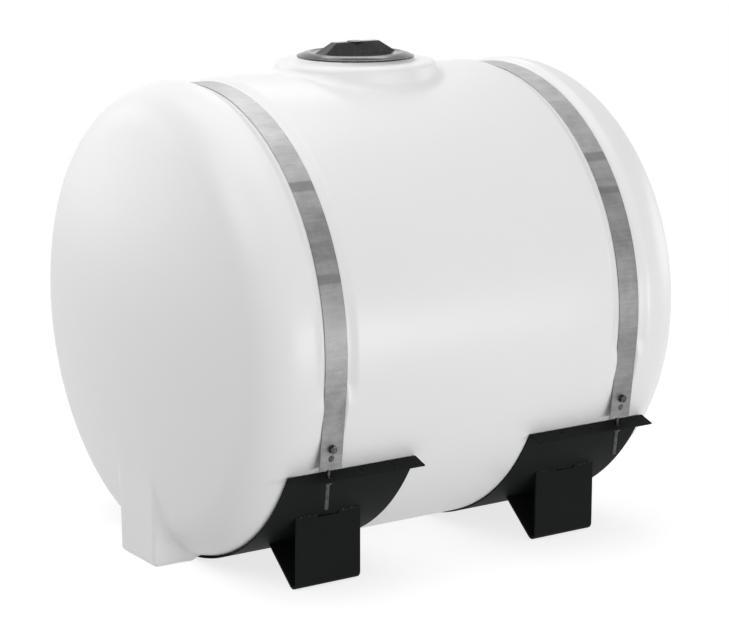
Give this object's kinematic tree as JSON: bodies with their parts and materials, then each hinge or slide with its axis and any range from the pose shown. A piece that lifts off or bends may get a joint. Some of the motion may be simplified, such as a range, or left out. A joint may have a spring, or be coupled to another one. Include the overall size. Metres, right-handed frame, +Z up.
{
  "type": "saddle tank",
  "caption": "Horizontal round polyethylene tank with a screw-on fill lid, held by two steel bands in two steel saddles on folded feet.",
  "frame": {"origin": "centre of the footprint at ground level, under the middle of the tank", "axes": "+X along the tank, +Y across it, away from the side called front, +Z up"},
  "size_m": [1.125, 0.965, 1.0285],
  "materials": {
    "tank_plastic": "natural white rotomoulded polyethylene, satin",
    "lid_plastic": "black moulded polypropylene, semi-gloss",
    "gasket_rubber": "black rubber",
    "galvanised": "galvanised strip with a mottled grey spangle",
    "zinc_hardware": "bright zinc plating",
    "black_paint": "black powder coat over steel sheet"
  },
  "bodies": {
    "tank": {"tank_barrel": "tank_plastic", "tank_end_left": "tank_plastic", "tank_end_right": "tank_plastic", "end_leg_left": "tank_plastic", "end_leg_right": "tank_plastic", "fill_well": "tank_plastic", "band_left": "galvanised", "band_right": "galvanised", "band_bolts_left": "zinc_hardware", "band_bolts_right": "zinc_hardware", "hook_rod_left_front": "zinc_hardware", "hook_rod_left_back": "zinc_hardware", "hook_rod_right_front": "zinc_hardware", "hook_rod_right_back": "zinc_hardware", "rod_nuts_left": "zinc_hardware", "rod_nuts_right": "zinc_hardware", "saddle_left": "black_paint", "saddle_right": "black_paint", "foot_left_front": "black_paint", "foot_left_back": "black_paint", "foot_right_front": "black_paint", "foot_right_back": "black_paint"},
    "lid": {"lid_gasket": "gasket_rubber", "lid": "lid_plastic", "lid_skirt": "lid_plastic", "lid_floor": "lid_plastic", "lid_grip": "lid_plastic", "lid_vent": "lid_plastic"}
  },
  "joints": [
    {"name": "lid_lift", "type": "slide", "parent": "tank", "child": "lid", "axis": [0, 0, 1], "range_m": [0, 0.15]}
  ]
}
